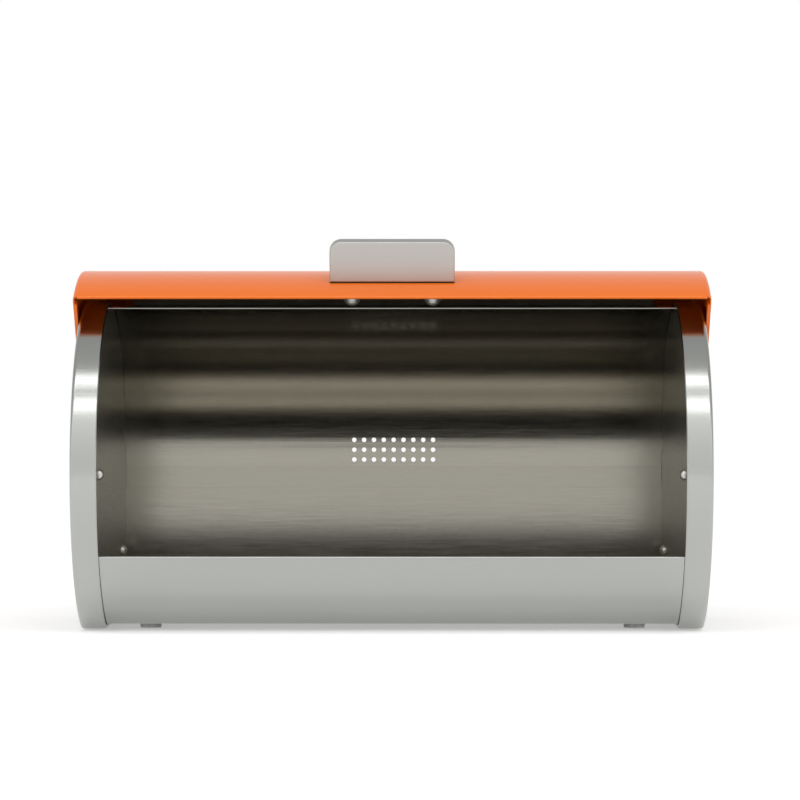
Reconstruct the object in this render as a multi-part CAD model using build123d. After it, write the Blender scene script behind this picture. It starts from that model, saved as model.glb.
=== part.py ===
from build123d import *
from math import acos, asin, atan2, cos, degrees, hypot, radians, sin, sqrt, tan
import os

os.makedirs("parts", exist_ok=True)

# Roll top bread box, lid rolled open. Millimetres.
# X runs along the width, Y from front to back, Z up. It stands on Z = 0, centred in X and Y.
# In side view, points are written from the arc centre of the body: first back, then up.
# Angles are measured from the front horizontal, up over the top.

# Body
width_over_caps = 390.0
cap_radius = 107.0            # outside of the end caps' rim
base_flat_cut = 8.3           # how far the flat base lies above the lowest point of the circle
base_bend_radius = 9.0
rear_corner_radius = 16.0
foot_proud = 1.0              # the feet stand this far below the caps
lip_height = 48.0             # top of the front lip above the table
shell_front_angle = 79.0      # front edge of the fixed top
lap_height = 84.5             # top of the tray's rear upstand above the base
lap = 18.0                    # the shell's lower edge laps the upstand by this much

# Sheet and rims
body_sheet = 0.7
cap_sheet = 0.8
panel_sheet = 0.8
cap_thickness = 16.3
cap_edge_radius = 2.5
rim_return = 2.0              # depth of the rolled inner edge of a cap's rim
rim_bevel = 0.5
sheet_gap = 0.2               # between the rolled edge and the shell
lap_gap = 0.1                 # between two lapped sheets
hem_gap = 0.2                 # between the two layers of a folded edge
hem_width = 7.0
sheet_reach = 12.0            # how far the shell and tray run into a cap

# Vents in the back
vent_columns = 9
vent_rows = 3
vent_pitch = 6.6
vent_radius = 1.5
vent_top = 17.5               # top row above the arc centre

# Side panel details
lug_length = 9.0
lug_half_angle = 4.0
shell_lug_angles = (90.0, 132.0, 170.0)
tray_lug_angles = (-42.0, -58.0)

# Panel screws and the posts they run into
front_screw = (-81.5, -1.6)
rear_screw = (74.0, -55.0)
screw_radius = 1.5
screw_head_radius = 3.35
screw_head_side = 0.8
screw_head_height = 3.4
screw_depth = 8.0
post_radius = 4.0

# Feet
foot_radius = 7.0
foot_taper = 0.5
foot_from_end = 42.0          # foot centre from the outside of the caps
foot_front = -14.0            # foot centres, from the arc centre
foot_rear = 74.0

# Lid
lid_gap = 3.2                 # between the closed lid and the caps
lid_sheet = 0.8
lid_side_gap = 2.0            # between a cap and the lid's arm
lid_bend_radius = 2.5
lid_skirt = 6.0               # depth of the turned-down ends of the skin
lid_hem_thickness = 2.4
lid_hem_width = 6.0
lid_span = 120.0              # from its front edge to its rear edge
lid_travel = 95.0
open_lift = 15.4              # the open lid's arc centre stands this far above the body's
stop_gap = 0.3
stop_reach = 70.0             # from the pivot to the pin that stops the open lid
stop_radius = 3.0
stop_stem_radius = 1.5
stop_stem_length = 3.0
arm_edge_radius = 210.0       # hollow of the arm's front and rear edges
arm_hem_proud = 1.3
arm_hem_width = 5.0
hub_radius = 16.0

# Pivots
shoulder_radius = 4.0
running_gap = 0.05
side_play = 0.1
pin_head_radius = 8.0
pin_head_side = 0.4
pin_head_height = 1.8
thread_radius = 3.0
pivot_washer_radius = 9.0
pivot_plate_radius = 14.0
pivot_plate_sheet = 1.2
nut_across_flats = 10.0
nut_height = 5.0

# Handle
handle_from_edge = 22.0       # along the lid, from its front edge to the handle
handle_width = 78.0
handle_height = 26.5
handle_thickness = 7.0
handle_corner_radius = 7.5
handle_edge_radius = 0.9
gasket_height = 0.5
stud_spacing = 50.5
stud_radius = 2.0
stud_in_handle = 9.0
stud_in_nut = 9.0
hole_gap = 0.1
washer_radius = 6.0
washer_height = 0.8
washer_seat = 0.2             # room for a flat washer under the curved lid
cap_nut_radius = 5.0
cap_nut_height = 14.0
cap_nut_side = 11.0           # straight part, below it a dome

# Worked out from the above
half_width = width_over_caps / 2
cap_mouth = half_width - cap_thickness
panel_in = cap_mouth + cap_sheet
panel_out = panel_in + panel_sheet
cap_floor = half_width - cap_sheet
sheet_end = cap_mouth + sheet_reach
base_depth = cap_radius - base_flat_cut
centre_height = base_depth + foot_proud

shell_inset = rim_return + sheet_gap
tray_inset = shell_inset + body_sheet + lap_gap
panel_inset = tray_inset + body_sheet + lap_gap
panel_rim_inset = cap_sheet + sheet_gap
body_hem = 2 * body_sheet + hem_gap
bend_back = -sqrt((cap_radius - base_bend_radius) ** 2 - (base_depth - base_bend_radius) ** 2)
bend_up = base_bend_radius - base_depth
bend_angle = degrees(atan2(bend_up, -bend_back))
lip_radius = cap_radius - tray_inset
lip_angle = degrees(asin((lip_height - centre_height) / lip_radius))

lid_inner_radius = cap_radius + lid_gap
lid_radius = lid_inner_radius + lid_sheet
lid_half = half_width + lid_side_gap + lid_sheet
arm_in = lid_half - lid_sheet
skirt_radius = lid_radius - lid_skirt
hem_radius = lid_radius - lid_hem_thickness
lid_centre = (0.0, open_lift)
pivot = (open_lift / 2 / tan(radians(lid_travel / 2)), open_lift / 2)
# The cap nuts land on the lip when the lid closes
landing_radius = lip_radius - body_hem / 2
handle_closed_angle = lip_angle + degrees(asin((cap_nut_radius + stop_gap) / landing_radius))
handle_angle = handle_closed_angle + lid_travel
lid_front_angle = handle_angle - degrees(handle_from_edge / lid_radius)
lid_rear_angle = lid_front_angle + lid_span

centre_y = (cap_radius - lid_radius) / 2
side_plane = Plane(origin=(0, centre_y, centre_height), x_dir=(0, 1, 0), z_dir=(1, 0, 0))
far = 3 * cap_radius
foot_half = half_width - foot_from_end


def at(radius, angle, centre=(0.0, 0.0)):
    a = radians(angle)
    return centre[0] - radius * cos(a), centre[1] + radius * sin(a)


def arc(radius, first, last, centre=(0.0, 0.0)):
    return CenterArc(centre, radius, 180 - first, first - last)


def polygon(*points):
    return make_face(Polyline(*points, close=True))


def slab(face, x_low, x_high):
    return extrude(side_plane.offset(x_low) * face, x_high - x_low)


def place(back, up, x=0.0):
    return (x, centre_y + back, centre_height + up)


def rod(radius, back, up, x_low, x_high):
    return slab(Pos(back, up) * Circle(radius), x_low, x_high)


def mirrored(part):
    return mirror(part, about=Plane.YZ)


# Side view of the body, drawn inward by inset: one circle, a straight back and a flat base
def body_outline(inset):
    radius = cap_radius - inset
    base = inset - base_depth
    bend = base_bend_radius - inset
    corner = rear_corner_radius - inset
    return make_face(Curve() + [
        arc(radius, bend_angle, 180),
        Line((radius, 0), (radius, base + corner)),
        CenterArc((radius - corner, base + corner), corner, 0, -90),
        Line((radius - corner, base), (bend_back, base)),
        arc(bend, -90, bend_angle, (bend_back, bend_up)),
    ])


# A sheet that follows the body, between two insets
def sheet_ring(outer, inner):
    return body_outline(outer) - body_outline(inner)


def arc_band(inner, outer, first, last, centre=(0.0, 0.0)):
    return make_face(Curve() + [
        arc(outer, first, last, centre),
        Line(at(outer, last, centre), at(inner, last, centre)),
        arc(inner, last, first, centre),
        Line(at(inner, first, centre), at(outer, first, centre)),
    ])


# A folded edge: the end of a section is thickened and its tip rounded
def rounded_tip(section, angle, thickness, centre=(0.0, 0.0)):
    tip = at(far, angle, centre)
    line = Edge.make_line((*centre, 0), (*tip, 0))
    corners = [v for v in section.vertices() if line.distance_to(v) < 0.01]
    return fillet(corners, thickness * 0.49)


def degrees_along(length, radius):
    return degrees(length / radius)


# Sheet sections of the shell and the tray, plain and with their folded edges
def shell_sections():
    low = lap_height - lap - base_depth
    zone = polygon((0, 0), at(far, shell_front_angle), (far, far), (far, low), (0, low))
    sheet = sheet_ring(shell_inset, shell_inset + body_sheet) & zone
    turn = degrees_along(hem_width, cap_radius)
    hem = arc_band(cap_radius - shell_inset - body_hem, cap_radius - shell_inset,
                   shell_front_angle, shell_front_angle + turn)
    return sheet, rounded_tip(sheet + hem, shell_front_angle, body_hem)


def tray_sections():
    top = lap_height - base_depth
    zone = polygon((0, 0), at(far, lip_angle), (-far, -far), (far, -far), (far, top), (0, top))
    sheet = sheet_ring(tray_inset, tray_inset + body_sheet) & zone
    turn = degrees_along(hem_width, lip_radius)
    hem = arc_band(lip_radius - body_hem, lip_radius, lip_angle - turn, lip_angle)
    return sheet, rounded_tip(sheet + hem, lip_angle, body_hem)


# The folded edge stops at the side panels, and the plain sheet runs on into the caps
def long_sheet(plain, hemmed):
    stop = panel_in - sheet_gap
    return (slab(hemmed, -stop, stop) + slab(plain, stop, sheet_end)
            + slab(plain, -sheet_end, -stop))


def vent_holes():
    middle = vent_top - vent_pitch * (vent_rows - 1) / 2
    back = Plane(origin=place(cap_radius / 2, middle), x_dir=(1, 0, 0), z_dir=(0, -1, 0))
    grid = GridLocations(vent_pitch, vent_pitch, vent_columns, vent_rows)
    return extrude(back * Sketch([spot * Circle(vent_radius) for spot in grid]), -cap_radius)


# Fixed sheets
def wrap_shell():
    return long_sheet(*shell_sections()) - vent_holes()


def base_tray():
    return long_sheet(*tray_sections())


# Bevel on the hidden inside of a bend that keeps the sheet's thickness
def inner_bevel(bend_radius, sheet):
    return (2 - sqrt(2)) * (bend_radius - sheet)


# Drawn cap of the right-hand end, open towards the box, with a turned-in edge
def end_cap():
    block = slab(body_outline(0), cap_mouth, half_width)
    block = fillet(block.faces().sort_by(Axis.X)[-1].edges(), cap_edge_radius)
    block = chamfer(block.faces().sort_by(Axis.X)[0].edges(), rim_bevel)
    hollow = slab(body_outline(cap_sheet), panel_in, cap_floor)
    hollow = chamfer(hollow.faces().sort_by(Axis.X)[-1].edges(), inner_bevel(cap_edge_radius, cap_sheet))
    mouth = slab(body_outline(rim_return), cap_mouth - 1, panel_in + 1)
    pin_hole = rod(thread_radius + hole_gap, *pivot, cap_floor - 1, half_width + 1)
    stop_hole = rod(stop_stem_radius + running_gap, *stop_spot(), cap_floor - 1, half_width + 1)
    return block - hollow - mouth - pin_hole - stop_hole


# Flat inner panel of the right-hand end. In front it closes the rim, elsewhere it fits
# inside the shell and the tray, and lugs turned outward are spot welded to them.
def side_panel():
    edge_gap = degrees_along(hem_gap + lap_gap, lip_radius)
    front = arc_band(cap_radius / 2, cap_radius - panel_rim_inset,
                     lip_angle + edge_gap, shell_front_angle - edge_gap)
    panel = slab(body_outline(panel_inset) + front, panel_in, panel_out)
    lug_out = panel_out + lug_length
    for angle in shell_lug_angles:
        lug = arc_band(cap_radius - panel_inset - sheet_gap, cap_radius - tray_inset,
                       angle - lug_half_angle, angle + lug_half_angle)
        panel += slab(lug, panel_in, lug_out)
    for angle in tray_lug_angles:
        lug = arc_band(cap_radius - panel_inset - panel_sheet, cap_radius - panel_inset,
                       angle - lug_half_angle, angle + lug_half_angle)
        panel += slab(lug, panel_in, lug_out)
    for back, up in (front_screw, rear_screw):
        panel -= rod(screw_radius + hole_gap, back, up, panel_in - 1, panel_out + 1)
    return panel


def cap_standoffs():
    posts = []
    for back, up in (front_screw, rear_screw):
        post = rod(post_radius, back, up, panel_out, cap_floor)
        posts.append(post - rod(screw_radius + running_gap, back, up, panel_out,
                                panel_out + screw_depth + 1))
    return Compound(posts)


# A round head along Z, its seat at 0: a short straight side under a domed top
def domed_head(radius, side, height):
    rise = height - side
    ball = (radius ** 2 + rise ** 2) / (2 * rise)
    stock = Pos(0, 0, height / 2) * Cylinder(radius, height)
    return stock & (Pos(0, 0, height - ball) * Sphere(ball))


def panel_screws():
    screws = []
    for back, up in (front_screw, rear_screw):
        head = domed_head(screw_head_radius, screw_head_side, screw_head_height)
        head = Pos(*place(back, up, panel_in)) * Rot(0, -90, 0) * head
        screws.append(head + rod(screw_radius, back, up, panel_in, panel_out + screw_depth))
    return Compound(screws)


# Pivots, on an axis that lies behind and above the arc centre: the closed lid is then
# concentric with the caps, and the open one stands clear above them
def pivot_plate():
    plate = rod(pivot_plate_radius, *pivot, cap_floor - pivot_plate_sheet, cap_floor)
    return plate - rod(thread_radius + hole_gap, *pivot, cap_floor - 5, cap_floor + 1)


nut_face = cap_floor - pivot_plate_sheet
arm_seat = half_width + lid_side_gap - side_play
head_seat = lid_half + side_play


def pivot_nut():
    across = Pos(*pivot) * RegularPolygon(nut_across_flats / 2, 6, major_radius=False)
    nut = slab(across, nut_face - nut_height, nut_face)
    return nut - rod(thread_radius + running_gap, *pivot, nut_face - nut_height - 1, nut_face + 1)


def pivot_pin():
    head = domed_head(pin_head_radius, pin_head_side, pin_head_height)
    head = Pos(*place(*pivot, head_seat)) * Rot(0, 90, 0) * head
    shoulder = rod(shoulder_radius, *pivot, half_width, head_seat)
    thread = rod(thread_radius, *pivot, nut_face - nut_height - 1, half_width)
    return head + shoulder + thread


def pivot_washer():
    washer = rod(pivot_washer_radius, *pivot, half_width, arm_seat)
    return washer - rod(shoulder_radius + hole_gap, *pivot, half_width - 1, arm_seat + 1)


def rubber_feet():
    top = centre_height + tray_inset - base_depth
    feet = []
    for x in (-foot_half, foot_half):
        for back in (foot_front, foot_rear):
            feet.append(Pos(x, centre_y + back, top / 2) * Cone(foot_radius - foot_taper, foot_radius, top))
    return Compound(feet)


# Lid
def lid_section():
    turn = degrees_along(lid_hem_width, lid_radius)
    section = arc_band(lid_inner_radius, lid_radius, lid_front_angle, lid_rear_angle, lid_centre)
    section += arc_band(hem_radius, lid_radius, lid_front_angle, lid_front_angle + turn, lid_centre)
    section += arc_band(hem_radius, lid_radius, lid_rear_angle - turn, lid_rear_angle, lid_centre)
    section = rounded_tip(section, lid_front_angle, lid_hem_thickness, lid_centre)
    return rounded_tip(section, lid_rear_angle, lid_hem_thickness, lid_centre)


# The rounded end of the skin, turned about the lid's arc centre
def lid_end():
    a = radians(lid_front_angle)
    centre = place(*lid_centre)
    cut = Plane(origin=centre, x_dir=(1, 0, 0), z_dir=(0, -sin(a), -cos(a)))
    bend_x = lid_half - lid_bend_radius
    bend_r = lid_radius - lid_bend_radius
    bevel = inner_bevel(lid_bend_radius, lid_sheet)
    section = make_face(Curve() + [
        Line((bend_x, lid_inner_radius), (bend_x, lid_radius)),
        CenterArc((bend_x, bend_r), lid_bend_radius, 90, -90),
        *Polyline(
            (lid_half, bend_r), (lid_half, skirt_radius), (arm_in, skirt_radius),
            (arm_in, lid_inner_radius - bevel), (arm_in - bevel, lid_inner_radius),
            (bend_x, lid_inner_radius),
        ).edges(),
    ])
    return revolve(cut * section, Axis(centre, (-1, 0, 0)), lid_span)


handle_a = radians(handle_angle)
handle_plane = Plane(
    origin=place(*at(lid_radius, handle_angle, lid_centre)),
    x_dir=(1, 0, 0),
    z_dir=(0, -cos(handle_a), sin(handle_a)),
)


# A group of two, at the studs of the handle, drawn about the lid's outside
def at_studs(part):
    return [handle_plane.location * (Pos(side * stud_spacing / 2, 0, 0) * part) for side in (-1, 1)]


def stud_cut(radius, low, high):
    return Pos(0, 0, (low + high) / 2) * Cylinder(radius, high - low)


washer_top = -lid_sheet - washer_seat
nut_top = washer_top - washer_height


def lid_skin():
    middle = lid_half - lid_bend_radius
    end = lid_end()
    skin = slab(lid_section(), -middle, middle) + end + mirrored(end)
    for hole in at_studs(stud_cut(stud_radius + hole_gap, -5, 5)):
        skin -= hole
    return skin


# Circle of an arm's hollow edge: through the end of the skirt and touching the hub
def hollow_circle(end, side):
    reach = hypot(end[0] - pivot[0], end[1] - pivot[1])
    arm = arm_edge_radius + hub_radius
    towards = atan2(end[1] - pivot[1], end[0] - pivot[0])
    turn = (reach ** 2 + arm ** 2 - arm_edge_radius ** 2) / (2 * reach * arm)
    angle = towards + side * (radians(90) - asin(turn))
    centre = (pivot[0] + arm * cos(angle), pivot[1] + arm * sin(angle))
    touch = (pivot[0] + hub_radius * cos(angle), pivot[1] + hub_radius * sin(angle))
    return centre, touch, degrees(angle)


# The shorter arc between two points of a circle
def arc_between(centre, first, last):
    radius = hypot(first[0] - centre[0], first[1] - centre[1])
    back = (first[0] + last[0]) / 2 - centre[0]
    up = (first[1] + last[1]) / 2 - centre[1]
    stretch = radius / hypot(back, up)
    return ThreePointArc(first, (centre[0] + back * stretch, centre[1] + up * stretch), last)


# End plate of the lid: the lid's arc outside, two hollow edges and a hub at the pivot
def lid_arm():
    front = at(skirt_radius, lid_front_angle, lid_centre)
    rear = at(skirt_radius, lid_rear_angle, lid_centre)
    front_centre, front_touch, front_turn = hollow_circle(front, 1)
    rear_centre, rear_touch, rear_turn = hollow_circle(rear, -1)
    plate = make_face(Curve() + [
        arc(skirt_radius, lid_front_angle, lid_rear_angle, lid_centre),
        arc_between(rear_centre, rear, rear_touch),
        CenterArc(pivot, hub_radius, rear_turn, (front_turn - rear_turn) % 360 - 360),
        arc_between(front_centre, front_touch, front),
    ])
    arm = slab(plate, arm_in, lid_half)
    for centre in (front_centre, rear_centre):
        strip = Circle(arm_edge_radius + arm_hem_width) - Circle(arm_edge_radius)
        arm += slab(plate & (Pos(*centre) * strip), arm_in - arm_hem_proud, arm_in)
    return arm - rod(shoulder_radius + running_gap, *pivot, arm_in - 3, lid_half + 3)


# Where the open lid comes to rest: against the hollow rear edge of its arm
def stop_spot():
    rear = at(skirt_radius, lid_rear_angle, lid_centre)
    edge_turn = radians(hollow_circle(rear, -1)[2])
    arm = arm_edge_radius + hub_radius
    clear = arm_edge_radius - stop_radius - stop_gap
    angle = edge_turn + acos((stop_reach ** 2 + arm ** 2 - clear ** 2) / (2 * stop_reach * arm))
    return pivot[0] + stop_reach * cos(angle), pivot[1] + stop_reach * sin(angle)


def lid_stop():
    pad = rod(stop_radius, *stop_spot(), half_width, lid_half)
    stem = rod(stop_stem_radius, *stop_spot(), half_width - stop_stem_length, half_width)
    return pad + stem


# Handle, drawn standing on the lid with Z away from it
def handle_tab():
    face = Pos(0, gasket_height + handle_height / 2) * Rectangle(handle_width, handle_height)
    face = fillet(face.vertices().group_by(Axis.Y)[-1], handle_corner_radius)
    tab = extrude(Plane.XZ * face, handle_thickness / 2, both=True)
    rim = [e for f in (tab.faces().sort_by(Axis.Y)[0], tab.faces().sort_by(Axis.Y)[-1])
           for e in f.edges()]
    tab = handle_plane.location * fillet(rim, handle_edge_radius)
    for hole in at_studs(stud_cut(stud_radius + running_gap, -1, gasket_height + stud_in_handle + 1)):
        tab -= hole
    return tab


def handle_gasket():
    strip = Pos(0, 0, gasket_height / 2) * Box(handle_width, handle_thickness, gasket_height)
    strip = handle_plane.location * strip
    for hole in at_studs(stud_cut(stud_radius + hole_gap, -1, 1)):
        strip -= hole
    return strip


def handle_studs():
    return Compound(at_studs(stud_cut(stud_radius, nut_top - stud_in_nut,
                                      gasket_height + stud_in_handle)))


def handle_washers():
    ring = stud_cut(washer_radius, nut_top, washer_top)
    ring -= stud_cut(stud_radius + hole_gap, nut_top - 1, washer_top + 1)
    return Compound(at_studs(ring))


def handle_cap_nuts():
    nut = Pos(0, 0, nut_top) * Rot(180, 0, 0) * domed_head(cap_nut_radius, cap_nut_side, cap_nut_height)
    nut -= stud_cut(stud_radius + running_gap, nut_top - stud_in_nut - 1, nut_top + 1)
    return Compound(at_studs(nut))


single_parts = {
    "wrap_shell": wrap_shell,
    "base_tray": base_tray,
    "rubber_feet": rubber_feet,
    "lid_skin": lid_skin,
    "handle_tab": handle_tab,
    "handle_gasket": handle_gasket,
    "handle_studs": handle_studs,
    "handle_washers": handle_washers,
    "handle_cap_nuts": handle_cap_nuts,
}
# Drawn for the right-hand end and mirrored to the left
end_parts = {
    "end_cap": end_cap,
    "side_panel": side_panel,
    "cap_standoffs": cap_standoffs,
    "panel_screws": panel_screws,
    "pivot_plate": pivot_plate,
    "pivot_pin": pivot_pin,
    "pivot_washer": pivot_washer,
    "pivot_nut": pivot_nut,
    "lid_arm": lid_arm,
    "lid_stop": lid_stop,
}

for name, make in single_parts.items():
    export_step(make(), f"parts/{name}.step")
for name, make in end_parts.items():
    right = make()
    export_step(right, f"parts/{name}_right.step")
    export_step(mirrored(right), f"parts/{name}_left.step")

print("arc centre: y", round(centre_y, 3), "z", round(centre_height, 3))
print("pivot: y", round(centre_y + pivot[0], 3), "z", round(centre_height + pivot[1], 3))
print("lid open, front and rear edge:", round(lid_front_angle, 2), round(lid_rear_angle, 2))
print("handle angle, open:", round(handle_angle, 2), "lip angle:", round(lip_angle, 2))
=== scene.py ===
import math

import bmesh
import bpy
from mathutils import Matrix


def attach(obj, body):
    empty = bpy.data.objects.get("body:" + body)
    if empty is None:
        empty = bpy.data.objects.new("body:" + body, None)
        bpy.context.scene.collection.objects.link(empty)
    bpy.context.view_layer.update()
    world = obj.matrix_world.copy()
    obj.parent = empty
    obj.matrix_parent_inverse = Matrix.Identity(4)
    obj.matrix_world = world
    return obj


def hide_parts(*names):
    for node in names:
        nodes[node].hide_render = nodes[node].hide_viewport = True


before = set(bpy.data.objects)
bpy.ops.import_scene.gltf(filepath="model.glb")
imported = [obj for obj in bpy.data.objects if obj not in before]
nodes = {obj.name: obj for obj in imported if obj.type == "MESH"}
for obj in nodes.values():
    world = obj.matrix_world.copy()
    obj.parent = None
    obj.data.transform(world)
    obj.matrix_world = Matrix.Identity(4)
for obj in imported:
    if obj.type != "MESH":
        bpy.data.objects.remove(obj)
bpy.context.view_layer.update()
scene = bpy.context.scene
print("frame loaded:", len(nodes), "nodes")


def toLinear(hexColour):
    parts = [int(hexColour[i:i + 2], 16) / 255 for i in (1, 3, 5)]
    return [p / 12.92 if p <= 0.04045 else ((p + 0.055) / 1.055) ** 2.4 for p in parts] + [1.0]


# Adds one node. Settings are plain attributes, links maps an input to a value or an output
def addNode(tree, kind, links=None, **settings):
    node = tree.nodes.new(kind)
    for key, value in settings.items():
        setattr(node, key, value)
    for key, value in (links or {}).items():
        if isinstance(value, bpy.types.NodeSocket):
            tree.links.new(value, node.inputs[key])
        else:
            node.inputs[key].default_value = value
    return node


def maths(tree, operation, *values):
    return addNode(tree, "ShaderNodeMath", dict(enumerate(values)), operation=operation).outputs[0]


def vector(tree, x=0.0, y=0.0, z=0.0):
    return addNode(tree, "ShaderNodeCombineXYZ", {0: x, 1: y, 2: z}).outputs[0]


# Spreads a value that lies between two limits over the range from low to high
def spread(tree, value, limits, low, high):
    return addNode(tree, "ShaderNodeMapRange", {
        "Value": value, "From Min": limits[0], "From Max": limits[1],
        "To Min": low, "To Max": high,
    }).outputs["Result"]


def newMaterial(name):
    material = bpy.data.materials.new(name)
    material.use_nodes = True
    tree = material.node_tree
    tree.nodes.clear()
    shader = addNode(tree, "ShaderNodeBsdfPrincipled")
    output = addNode(tree, "ShaderNodeOutputMaterial")
    tree.links.new(shader.outputs["BSDF"], output.inputs["Surface"])
    return material, tree, shader


noiseLimits = (0.3, 0.7)     # nearly all of a noise texture's values lie between these


def addBump(tree, shader, height, strength, distance):
    bump = addNode(tree, "ShaderNodeBump", {
        "Height": height, "Strength": strength, "Distance": distance,
    })
    tree.links.new(bump.outputs["Normal"], shader.inputs["Normal"])


# Stainless sheet, polished with a fine belt: soft mirror images drawn out into hairlines.
# The real lines are about 0.05 mm apart and are drawn coarser, so that they show
satinStainless = {
    "colour": "#b1b3af",
    "roughness": 0.17,
    "lineLength": 28.0,         # mm
    "lineWidth": 0.22,          # mm
    "lineDetail": 3.0, "lineFineness": 0.6,
    "contrast": 0.3,            # share by which the lines vary the roughness
    "lineDepth": 0.14, "lineRelief": 0.0001,      # strength and height (m) of the bump
    "endFacing": 0.8,           # a face that looks sideways more than this is a flat end
}
# The same steel for the inside faces, with its colour darkened to paint the shade inside the box
satinStainlessPaintedShade = dict(satinStainless, colour="#98958b", roughness=0.36, lineDepth=0.06)


def brushedSteel(name, values):
    material, tree, shader = newMaterial(name)
    coordinates = addNode(tree, "ShaderNodeTexCoord")
    along, across = 1000 / values["lineLength"], 1000 / values["lineWidth"]
    hairlines = []
    for scale in ((along, across, across), (across, along, across)):
        stretched = addNode(tree, "ShaderNodeMapping", {
            "Vector": coordinates.outputs["Object"], "Scale": scale,
        })
        hairlines.append(addNode(tree, "ShaderNodeTexNoise", {
            "Vector": stretched.outputs["Vector"], "Scale": 1.0,
            "Detail": values["lineDetail"], "Roughness": values["lineFineness"],
        }))
    # Lines run along the box, and from front to back on the flat ends
    facing = addNode(tree, "ShaderNodeSeparateXYZ", {0: coordinates.outputs["Normal"]})
    sideways = maths(tree, "ABSOLUTE", facing.outputs["X"])
    onEnds = maths(tree, "GREATER_THAN", sideways, values["endFacing"])
    lines = addNode(tree, "ShaderNodeMix", {
        0: onEnds, 2: hairlines[0].outputs["Fac"], 3: hairlines[1].outputs["Fac"],
    }, data_type="FLOAT")
    rough = spread(tree, lines.outputs[0], noiseLimits,
                   values["roughness"] * (1 - values["contrast"]),
                   values["roughness"] * (1 + values["contrast"]))
    shader.inputs["Base Color"].default_value = toLinear(values["colour"])
    shader.inputs["Metallic"].default_value = 1.0
    tree.links.new(rough, shader.inputs["Roughness"])
    addBump(tree, shader, lines.outputs[0], values["lineDepth"], values["lineRelief"])
    return material, tree, shader


# Powder coat on steel: an even, fairly glossy film of colour with a very slight orange peel
orangePowderCoat = {
    "colour": "#f0720a", "roughness": 0.24, "ior": 1.5,
    "peel": 1.6,                # mm
    "peelDetail": 2.0, "peelDepth": 0.04, "peelRelief": 0.0002,
}


def powderCoat(name, values):
    material, tree, shader = newMaterial(name)
    coordinates = addNode(tree, "ShaderNodeTexCoord")
    peel = addNode(tree, "ShaderNodeTexNoise", {
        "Vector": coordinates.outputs["Object"], "Scale": 1000 / values["peel"],
        "Detail": values["peelDetail"],
    })
    shader.inputs["Base Color"].default_value = toLinear(values["colour"])
    shader.inputs["Roughness"].default_value = values["roughness"]
    shader.inputs["IOR"].default_value = values["ior"]
    addBump(tree, shader, peel.outputs["Fac"], values["peelDepth"], values["peelRelief"])
    return material


# Finishes with a fine even grain (mm) that takes the shine off
grainedFinishes = {
    # bead blasted: an even pale grey without any mirror image
    "blastedAluminium": {"colour": "#bdbcb8", "roughness": 0.5, "metallic": 1.0, "grain": 0.35},
    # dull nickel plate: a soft bright spot on every round head
    "nickelPlate": {"colour": "#cdcbc4", "roughness": 0.38, "metallic": 1.0, "grain": 0.8},
    # moulded rubber: matt, nearly black
    "blackRubber": {"colour": "#1d1d1d", "roughness": 0.72, "metallic": 0.0, "grain": 0.4},
    # cloudy silicone: takes on the tone of the table
    "paleSilicone": {"colour": "#c3c4c0", "roughness": 0.35, "metallic": 0.0, "grain": 0.5,
                     "clear": 0.85},
    # undyed nylon: a dull, warm white
    "naturalNylon": {"colour": "#e5e1d5", "roughness": 0.5, "metallic": 0.0, "grain": 0.6},
}
grainLook = {"detail": 2.0, "variation": 0.08, "depth": 0.08, "relief": 0.0001}


def grainedFinish(name):
    values = grainedFinishes[name]
    material, tree, shader = newMaterial(name)
    coordinates = addNode(tree, "ShaderNodeTexCoord")
    grain = addNode(tree, "ShaderNodeTexNoise", {
        "Vector": coordinates.outputs["Object"], "Scale": 1000 / values["grain"],
        "Detail": grainLook["detail"],
    })
    rough = spread(tree, grain.outputs["Fac"], noiseLimits,
                   values["roughness"] * (1 - grainLook["variation"]),
                   values["roughness"] * (1 + grainLook["variation"]))
    shader.inputs["Base Color"].default_value = toLinear(values["colour"])
    shader.inputs["Metallic"].default_value = values["metallic"]
    shader.inputs["Transmission Weight"].default_value = values.get("clear", 0.0)
    tree.links.new(rough, shader.inputs["Roughness"])
    addBump(tree, shader, grain.outputs["Fac"], grainLook["depth"], grainLook["relief"])
    return material


# The tray and the shell are one sheet each of the same steel; the faces on the inside get a darker
# colour, a painted shade inside the box:
# a face that looks away from the middle of the box is outside
def steelWithPaintedShadeInside(name, outside, inside, centre):
    material, tree, shader = brushedSteel(name, outside)
    coordinates = addNode(tree, "ShaderNodeTexCoord")
    outward = addNode(tree, "ShaderNodeVectorMath", {
        0: coordinates.outputs["Object"], 1: (0, centre[0], centre[1]),
    }, operation="SUBTRACT")
    facing = addNode(tree, "ShaderNodeVectorMath", {
        0: coordinates.outputs["Normal"], 1: outward.outputs[0],
    }, operation="DOT_PRODUCT")
    # Faces that look inward take the darker colour: painted shade
    paintedShadeFaces = maths(tree, "LESS_THAN", facing.outputs["Value"], 0.0)
    colour = addNode(tree, "ShaderNodeMix", {
        0: paintedShadeFaces, 6: toLinear(outside["colour"]), 7: toLinear(inside["colour"]),
    }, data_type="RGBA")
    tree.links.new(colour.outputs[2], shader.inputs["Base Color"])
    return material


bodyCentre = (-0.002, 0.0997)      # arc centre of the caps, y and z
steelOutside = brushedSteel("satinStainless", satinStainless)[0]
# This darker copy paints the shade on the inside faces, the side panels and under the lid
steelPaintedShade = brushedSteel("satinStainlessPaintedShade", satinStainlessPaintedShade)[0]
# The tray and shell: outside steel, with painted shade on their inside faces
steelSheetPaintedShadeInside = steelWithPaintedShadeInside("satinStainlessSheetPaintedShadeInside", satinStainless, satinStainlessPaintedShade, bodyCentre)
orangeCoat = powderCoat("orangePowderCoat", orangePowderCoat)
blastedAluminium = grainedFinish("blastedAluminium")
nickelPlate = grainedFinish("nickelPlate")
blackRubber = grainedFinish("blackRubber")
naturalNylon = grainedFinish("naturalNylon")
paleSilicone = grainedFinish("paleSilicone")

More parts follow.
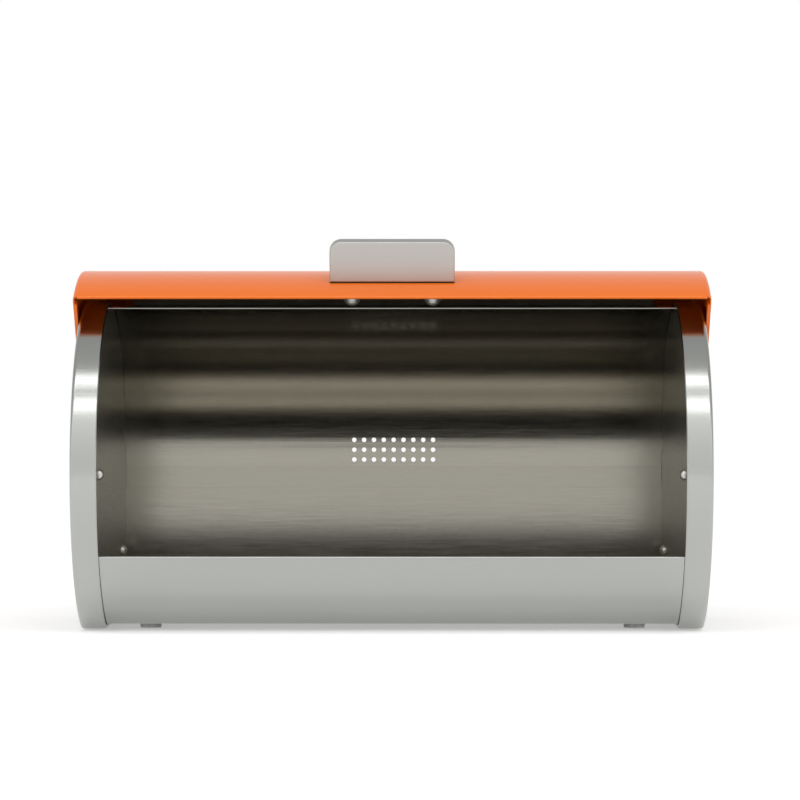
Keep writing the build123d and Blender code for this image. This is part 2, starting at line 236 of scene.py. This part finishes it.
# By the start of a node's name, and nickel plate on all the rest
finishes = {
    "end_cap": steelOutside, "base_tray": steelSheetPaintedShadeInside, "wrap_shell": steelSheetPaintedShadeInside,
    # The side panels inside the caps take the darker steel, a painted shade
    "side_panel": steelPaintedShade, "lid_skin": orangeCoat, "lid_arm": orangeCoat,
    "handle_tab": blastedAluminium, "handle_gasket": blackRubber,
    "rubber_feet": paleSilicone, "lid_stop": blackRubber, "pivot_washer": naturalNylon,
}
for name, node in nodes.items():
    finish = next((f for start, f in finishes.items() if name.startswith(start)), nickelPlate)
    node.data.materials.clear()
    node.data.materials.append(finish)
print("finishes set on the nodes")


# A Geometry Nodes tree with a named float input for each size
def sizedTree(name, sizes):
    tree = bpy.data.node_groups.new(name, "GeometryNodeTree")
    tree.interface.new_socket("Geometry", in_out="INPUT", socket_type="NodeSocketGeometry")
    tree.interface.new_socket("Geometry", in_out="OUTPUT", socket_type="NodeSocketGeometry")
    for size in sizes:
        tree.interface.new_socket(size, in_out="INPUT", socket_type="NodeSocketFloat")
    return tree, addNode(tree, "NodeGroupInput").outputs


def endTree(tree, geometry, material):
    real = addNode(tree, "GeometryNodeRealizeInstances", {0: geometry})
    painted = addNode(tree, "GeometryNodeSetMaterial", {0: real.outputs[0], "Material": material})
    addNode(tree, "NodeGroupOutput", {0: painted.outputs[0]})
    return tree


def moved(tree, geometry, offset):
    return addNode(tree, "GeometryNodeTransform", {0: geometry, "Translation": offset}).outputs[0]


def placeParts(tree):
    place = addNode(tree, "GeometryNodeInputPosition")
    return addNode(tree, "ShaderNodeSeparateXYZ", {0: place.outputs[0]}).outputs


# Y and Z of a point at this reach and angle round the lid's arc centre
def roundLid(tree, size, angle, reach):
    forward = maths(tree, "COSINE", angle)
    upward = maths(tree, "SINE", angle)
    y = maths(tree, "SUBTRACT", size["centreY"], maths(tree, "MULTIPLY", forward, reach))
    return y, maths(tree, "MULTIPLY_ADD", upward, reach, size["centreZ"])


# Runs the tree on a mesh with the given sizes and keeps the result as a plain mesh
def grownPiece(name, mesh, tree, sizes, thickness=0.0):
    piece = bpy.data.objects.new(name, mesh)
    scene.collection.objects.link(piece)
    grow = piece.modifiers.new("grow", "NODES")
    grow.node_group = tree
    for socket in tree.interface.items_tree:
        if socket.in_out == "INPUT" and socket.name in sizes:
            grow[socket.identifier] = sizes[socket.name]
    if thickness:
        wall = piece.modifiers.new("wall", "SOLIDIFY")
        wall.thickness, wall.offset, wall.use_even_offset = thickness, -1.0, True
    evaluated = piece.evaluated_get(bpy.context.evaluated_depsgraph_get())
    grown = bpy.data.meshes.new_from_object(evaluated)
    piece.modifiers.clear()
    piece.data = grown
    return piece


def smoothFaces(mesh, sharpAngle):
    mesh.shade_smooth()
    mesh.set_sharp_from_angle(angle=math.radians(sharpAngle))


# Lid skin: a sheet rolled to an arc, its ends turned down over a small bend
lid = {
    "radius": 0.111, "halfWidth": 0.1978, "bend": 0.0025, "skirt": 0.006,
    "frontAngle": math.radians(56.776), "span": math.radians(120.0),
    "centreY": -0.002, "centreZ": 0.1151,
    "thickness": 0.0008,
    "hemThickness": 0.0024, "hemWidth": 0.006, "hemInset": 0.0012,
    "bareHalf": 0.180,          # half width of the underside that takes the darker steel, a painted shade
    "rowsAround": 144,
    "rowsAcross": 8,            # in each of the flat, the bend and the skirt of one half
    "tipSteps": 12, "hemSteps": 5, "sharpAngle": 40,
}


def lidTree(material):
    tree, size = sizedTree("rolledLid", (
        "radius", "halfWidth", "bend", "skirt", "frontAngle", "span",
        "centreY", "centreZ", "hemInset",
    ))
    # From the middle: 1 flat, then 1 round the bend, then 1 down the skirt
    sheet = addNode(tree, "GeometryNodeMeshGrid", {
        "Size X": 6.0, "Size Y": 1.0,
        "Vertices X": 6 * lid["rowsAcross"] + 1, "Vertices Y": lid["rowsAround"] + 1,
    })
    across = placeParts(tree)
    side = maths(tree, "SIGN", across["X"])
    away = maths(tree, "ABSOLUTE", across["X"])
    flatEnd = maths(tree, "SUBTRACT", size["halfWidth"], size["bend"])
    straight = maths(tree, "SUBTRACT", size["skirt"], size["bend"])
    flat = spread(tree, away, (0.0, 1.0), 0.0, flatEnd)
    turn = spread(tree, away, (1.0, 2.0), 0.0, math.pi / 2)
    down = spread(tree, away, (2.0, 3.0), 0.0, straight)
    out = maths(tree, "MULTIPLY_ADD", maths(tree, "SINE", turn), size["bend"], flat)
    x = maths(tree, "MULTIPLY", out, side)
    bendRadius = maths(tree, "SUBTRACT", size["radius"], size["bend"])
    bent = maths(tree, "MULTIPLY_ADD", maths(tree, "COSINE", turn), size["bend"], bendRadius)
    reach = maths(tree, "SUBTRACT", bent, down)
    # The flat part stops short of the edge, where the folded hem takes over
    firstBend = (1.0, 1.0 + 1 / lid["rowsAcross"])
    inset = spread(tree, away, firstBend, size["hemInset"], 0.0)
    insetAngle = maths(tree, "DIVIDE", inset, size["radius"])
    first = maths(tree, "ADD", size["frontAngle"], insetAngle)
    rear = maths(tree, "ADD", size["frontAngle"], size["span"])
    last = maths(tree, "SUBTRACT", rear, insetAngle)
    angle = spread(tree, across["Y"], (-0.5, 0.5), first, last)
    y, z = roundLid(tree, size, angle, reach)
    rolled = addNode(tree, "GeometryNodeSetPosition", {
        "Geometry": sheet.outputs["Mesh"], "Position": vector(tree, x, y, z),
    })
    return endTree(tree, rolled.outputs[0], material)


# Outline of a folded hem with a rounded tip, as radius and distance from the lid's edge
def hemSection():
    radius, width = lid["radius"], lid["hemWidth"]
    half = lid["hemThickness"] / 2
    tipSteps, hemSteps = lid["tipSteps"], lid["hemSteps"]
    section = []
    for step in range(tipSteps + 1):      # round the tip, from the outside to the inside
        a = math.pi * step / tipSteps
        section.append((radius - half + half * math.cos(a), half - half * math.sin(a)))
    for step in range(hemSteps):          # back along the inside, then along the outside
        section.append((radius - 2 * half, half + (width - half) * (step + 1) / hemSteps))
    for step in range(hemSteps):
        section.append((radius, width - (width - half) * step / hemSteps))
    return section


# A folded hem along one edge. Heading is 1 at the front and -1 at the rear
def addHem(work, heading):
    edge = lid["frontAngle"] if heading > 0 else lid["frontAngle"] + lid["span"]
    middle = lid["halfWidth"] - lid["bend"]
    section = hemSection()
    rings = []
    for x in (-middle, middle):
        ring = []
        for r, along in section:
            a = edge + heading * along / lid["radius"]
            y, z = lid["centreY"] - r * math.cos(a), lid["centreZ"] + r * math.sin(a)
            ring.append(work.verts.new((x, y, z)))
        rings.append(ring)
    count = len(section)
    for i in range(count):
        after = (i + 1) % count
        work.faces.new((rings[0][i], rings[0][after], rings[1][after], rings[1][i]))
    work.faces.new(rings[0])
    work.faces.new(rings[1])


def makeLid():
    seed = bpy.data.meshes.new("lidSeed")
    piece = grownPiece("lidShell", seed, lidTree(orangeCoat), lid, lid["thickness"])
    work = bmesh.new()
    work.from_mesh(piece.data)
    piece.data.materials.clear()
    # The coat is on the outside and the folded edges; the underside between them takes the darker
    # inside steel, a painted shade under the lid
    inner = lid["radius"] - lid["thickness"]
    near = lid["thickness"] / 4
    for face in work.faces:
        middle = face.calc_center_median()
        depth = math.hypot(middle.y - lid["centreY"], middle.z - lid["centreZ"])
        shadedUnderside = abs(depth - inner) < near and abs(middle.x) < lid["bareHalf"]
        face.material_index = int(shadedUnderside)
    addHem(work, 1)
    addHem(work, -1)
    bmesh.ops.recalc_face_normals(work, faces=work.faces)
    work.to_mesh(piece.data)
    work.free()
    piece.data.materials.append(orangeCoat)
    # The darker steel in this slot is painted shade under the lid
    piece.data.materials.append(steelPaintedShade)
    smoothFaces(piece.data, lid["sharpAngle"])
    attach(piece, "lid")
    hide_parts("lid_skin")
    print("lid skin rolled:", len(piece.data.polygons), "faces")


makeLid()


# Panel screws: a domed head with a cross recess on a plain shank
screws = {
    "headRadius": 0.00335, "headHeight": 0.0034, "ball": 0.003458,
    "recessLength": 0.0036, "recessWidth": 0.0008, "recessDepth": 0.0014,
    "shankRadius": 0.0015, "shankLength": 0.0088,
    "seat": 0.1795,             # inner face of a side panel, from the middle of the box
    "points": ((-0.0835, 0.0981), (0.072, 0.0447)),     # y and z
    "seed": 7,
    "headSides": 48, "ballRings": 32, "shankSides": 24, "sharpAngle": 30,
}


def screwHead(tree, size):
    low = maths(tree, "SUBTRACT", size["headHeight"], size["ball"])
    ball = addNode(tree, "GeometryNodeMeshUVSphere", {
        "Segments": screws["headSides"], "Rings": screws["ballRings"], "Radius": size["ball"],
    })
    ball = moved(tree, ball.outputs["Mesh"], vector(tree, z=low))
    stock = addNode(tree, "GeometryNodeMeshCylinder", {
        "Vertices": screws["headSides"], "Radius": size["headRadius"],
        "Depth": size["headHeight"],
    })
    half = maths(tree, "MULTIPLY", size["headHeight"], 0.5)
    stock = moved(tree, stock.outputs["Mesh"], vector(tree, z=half))
    head = addNode(tree, "GeometryNodeMeshBoolean", operation="INTERSECT", solver="EXACT")
    tree.links.new(stock, head.inputs["Mesh 2"])
    tree.links.new(ball, head.inputs["Mesh 2"])
    return head.outputs["Mesh"]


def screwTree(material):
    tree, size = sizedTree("panelScrew", (
        "headRadius", "headHeight", "ball", "recessLength", "recessWidth", "recessDepth",
        "shankRadius", "shankLength",
    ))
    cut = addNode(tree, "GeometryNodeMeshBoolean", {"Mesh 1": screwHead(tree, size)},
                  operation="DIFFERENCE", solver="EXACT")
    depth = maths(tree, "MULTIPLY", size["recessDepth"], 2.0)
    top = vector(tree, z=size["headHeight"])
    for first, second in (("recessLength", "recessWidth"), ("recessWidth", "recessLength")):
        blade = vector(tree, size[first], size[second], depth)
        bar = addNode(tree, "GeometryNodeMeshCube", {"Size": blade})
        tree.links.new(moved(tree, bar.outputs["Mesh"], top), cut.inputs["Mesh 2"])
    drop = maths(tree, "MULTIPLY", size["shankLength"], -0.5)
    shank = addNode(tree, "GeometryNodeMeshCylinder", {
        "Vertices": screws["shankSides"], "Radius": size["shankRadius"],
        "Depth": size["shankLength"],
    })
    shank = moved(tree, shank.outputs["Mesh"], vector(tree, z=drop))
    screw = addNode(tree, "GeometryNodeJoinGeometry")
    tree.links.new(cut.outputs["Mesh"], screw.inputs[0])
    tree.links.new(shank, screw.inputs[0])
    # Heads look inward from both panels, and no two are left at the same turn
    side = maths(tree, "SIGN", placeParts(tree)["X"])
    lean = maths(tree, "MULTIPLY", side, -math.pi / 2)
    placed = addNode(tree, "GeometryNodeInstanceOnPoints", {
        "Points": size["Geometry"], "Instance": screw.outputs[0],
        "Rotation": vector(tree, y=lean),
    })
    left = addNode(tree, "FunctionNodeRandomValue", {
        "Min": 0.0, "Max": math.pi, "Seed": screws["seed"],
    }, data_type="FLOAT")
    turned = addNode(tree, "GeometryNodeRotateInstances", {
        0: placed.outputs[0], "Rotation": vector(tree, z=left.outputs[1]), "Local Space": True,
    })
    return endTree(tree, turned.outputs[0], material)


def makePanelScrews():
    mesh = bpy.data.meshes.new("screwPoints")
    places = [(x, y, z) for x in (-screws["seat"], screws["seat"]) for y, z in screws["points"]]
    mesh.from_pydata(places, [], [])
    piece = grownPiece("panelScrews", mesh, screwTree(nickelPlate), screws)
    smoothFaces(piece.data, screws["sharpAngle"])
    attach(piece, "box")
    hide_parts("panel_screws_left", "panel_screws_right")
    print("panel screws placed:", len(piece.data.polygons), "faces")


makePanelScrews()


# Cap nuts: turned, with a flat seat against the washer, a straight side and a domed end
nuts = {
    "radius": 0.005, "side": 0.011, "height": 0.014, "edge": 0.0003,
    "bore": 0.00205, "boreDepth": 0.01,
    "apart": 0.0505, "handleAngle": math.radians(68.134),
    "seatRadius": 0.1092,       # underside of the washers, from the lid's arc centre
    "centreY": lid["centreY"], "centreZ": lid["centreZ"],
    "domeSteps": 16, "sides": 48, "sharpAngle": 30,
}


# Half section from the bottom of the bore, over the seat, to the tip of the dome
def nutSection():
    radius, height, bore, edge = nuts["radius"], nuts["height"], nuts["bore"], nuts["edge"]
    rise = height - nuts["side"]
    ball = (radius ** 2 + rise ** 2) / (2 * rise)
    reach = math.asin(radius / ball)
    section = [(0.0, nuts["boreDepth"]), (bore, nuts["boreDepth"]), (bore, 0.0),
               (radius - edge, 0.0), (radius, edge)]
    for step in range(nuts["domeSteps"] + 1):
        a = reach * (1 - step / nuts["domeSteps"])
        section.append((ball * math.sin(a), height - ball + ball * math.cos(a)))
    return section


# Hangs a nut under the lid on each of the handle's studs
def nutTree(material):
    tree, size = sizedTree("capNut", (
        "apart", "handleAngle", "seatRadius", "centreY", "centreZ",
    ))
    start = maths(tree, "MULTIPLY", size["apart"], -0.5)
    y, z = roundLid(tree, size, size["handleAngle"], size["seatRadius"])
    studs = addNode(tree, "GeometryNodeMeshLine", {
        "Count": 2, "Start Location": vector(tree, start, y, z),
        "Offset": vector(tree, size["apart"]),
    })
    tilt = maths(tree, "SUBTRACT", 1.5 * math.pi, size["handleAngle"])
    placed = addNode(tree, "GeometryNodeInstanceOnPoints", {
        "Points": studs.outputs[0], "Instance": size["Geometry"], "Rotation": vector(tree, tilt),
    })
    return endTree(tree, placed.outputs[0], material)


# Turns a half section about Z. A point on the axis gives one vertex, any other a ring
def turnedMesh(name, section, sides):
    points, rings, faces = [], [], []
    for r, z in section:
        count = sides if r else 1
        rings.append(range(len(points), len(points) + count))
        for i in range(count):
            a = 2 * math.pi * i / sides
            points.append((r * math.cos(a), r * math.sin(a), z))
    for ring, after in zip(rings, rings[1:]):
        for i in range(sides):
            j = (i + 1) % sides
            corners = (ring[i % len(ring)], ring[j % len(ring)],
                       after[j % len(after)], after[i % len(after)])
            faces.append(tuple(dict.fromkeys(corners)))
    mesh = bpy.data.meshes.new(name)
    mesh.from_pydata(points, [], faces)
    return mesh


def makeCapNuts():
    mesh = turnedMesh("turnedNut", nutSection(), nuts["sides"])
    piece = grownPiece("capNuts", mesh, nutTree(nickelPlate), nuts)
    smoothFaces(piece.data, nuts["sharpAngle"])
    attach(piece, "lid")
    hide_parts("handle_cap_nuts")
    print("cap nuts turned:", len(piece.data.polygons), "faces")


makeCapNuts()


# The camera stands level in front of the box, a little right of its middle
shot = {
    "lens": 144.0, "sensor": 36.0,          # mm
    "place": (0.0136, -2.043, 0.1439),
    "turn": 0.25,                           # degrees to the left
}


def makeCamera():
    data = bpy.data.cameras.new("camera")
    camera = bpy.data.objects.new("camera", data)
    scene.collection.objects.link(camera)
    data.lens, data.sensor_width = shot["lens"], shot["sensor"]
    camera.location = shot["place"]
    camera.rotation_euler = (math.radians(90), 0, math.radians(shot["turn"]))
    scene.camera = camera


makeCamera()


# A bright cove with two long softboxes high in front of the box
studio = {
    "floorHalf": 6.0, "floorColour": "#f2f2f2", "floorRoughness": 0.95, "floorWhite": 0.32,
    "boxes": ((44.5, 8.0), (62.5, 8.5)),      # height and depth, degrees seen from the box
    "boxDistance": 2.6, "boxWidth": 3.2, "boxRadiance": 2.2,
    # Tone of the cove from the front horizon, up over the top, to the rear horizon
    "cove": (
        (0.0, 1.0), (0.1, 1.1), (0.2, 1.3), (0.31, 1.0),
        (0.42, 0.62), (0.65, 0.5), (0.8, 0.7), (1.0, 1.0),
    ),
}


def seenDirectly(tree):
    rays = addNode(tree, "ShaderNodeLightPath").outputs
    seen = maths(tree, "MAXIMUM", rays["Is Camera Ray"], rays["Is Glossy Ray"])
    return maths(tree, "MAXIMUM", seen, rays["Is Transmission Ray"])


# White to the camera and to the metal, by some glow on top of its own lit colour,
# so that the object's shadow still darkens it
def makeFloor():
    mesh = bpy.data.meshes.new("floor")
    h = studio["floorHalf"]
    mesh.from_pydata([(-h, -h, 0), (h, -h, 0), (h, h, 0), (-h, h, 0)], [], [(0, 1, 2, 3)])
    floor = bpy.data.objects.new("floor", mesh)
    scene.collection.objects.link(floor)
    material, tree, shader = newMaterial("paleFloor")
    shader.inputs["Base Color"].default_value = toLinear(studio["floorColour"])
    shader.inputs["Roughness"].default_value = studio["floorRoughness"]
    shader.inputs["Specular IOR Level"].default_value = 0.0
    shader.inputs["Emission Color"].default_value = (1, 1, 1, 1)
    glow = maths(tree, "MULTIPLY", seenDirectly(tree), studio["floorWhite"])
    tree.links.new(glow, shader.inputs["Emission Strength"])
    mesh.materials.append(material)


# Plain white to the camera, the cove's tones to everything else
def makeWorld():
    world = bpy.data.worlds.new("studio")
    scene.world = world
    world.use_nodes = True
    tree = world.node_tree
    tree.nodes.clear()
    direction = addNode(tree, "ShaderNodeTexCoord")
    parts = addNode(tree, "ShaderNodeSeparateXYZ", {0: direction.outputs["Generated"]})
    ahead = maths(tree, "MULTIPLY", parts.outputs["Y"], -1.0)
    height = maths(tree, "ARCTAN2", parts.outputs["Z"], ahead)
    share = maths(tree, "DIVIDE", height, math.pi)
    tones = addNode(tree, "ShaderNodeValToRGB", {0: share})
    ramp = tones.color_ramp
    ramp.elements.remove(ramp.elements[0])
    brightest = max(tone for place, tone in studio["cove"])
    for index, (place, tone) in enumerate(studio["cove"]):
        stop = ramp.elements[0] if index == 0 else ramp.elements.new(place)
        stop.position = place
        stop.color = (tone / brightest,) * 3 + (1,)
    cove = addNode(tree, "ShaderNodeBackground", {
        "Color": tones.outputs["Color"], "Strength": brightest,
    })
    white = addNode(tree, "ShaderNodeBackground", {"Color": (1, 1, 1, 1), "Strength": 1.0})
    path = addNode(tree, "ShaderNodeLightPath")
    mix = addNode(tree, "ShaderNodeMixShader", {
        0: path.outputs["Is Camera Ray"], 1: cove.outputs[0], 2: white.outputs[0],
    })
    output = addNode(tree, "ShaderNodeOutputWorld")
    tree.links.new(mix.outputs[0], output.inputs["Surface"])


def makeSoftboxes():
    distance = studio["boxDistance"]
    for index, (height, depth) in enumerate(studio["boxes"]):
        data = bpy.data.lights.new("softbox" + str(index + 1), "AREA")
        lamp = bpy.data.objects.new(data.name, data)
        scene.collection.objects.link(lamp)
        data.shape = "RECTANGLE"
        data.size = studio["boxWidth"]
        data.size_y = 2 * distance * math.tan(math.radians(depth / 2))
        data.energy = studio["boxRadiance"] * math.pi * data.size * data.size_y
        a = math.radians(height)
        lamp.location = (0, -distance * math.cos(a), bodyCentre[1] + distance * math.sin(a))
        lamp.rotation_euler = (math.radians(90 - height), 0, 0)
        lamp.visible_camera = False


makeFloor()
makeWorld()
makeSoftboxes()
scene.view_settings.view_transform = "Standard"
print("studio and camera set")
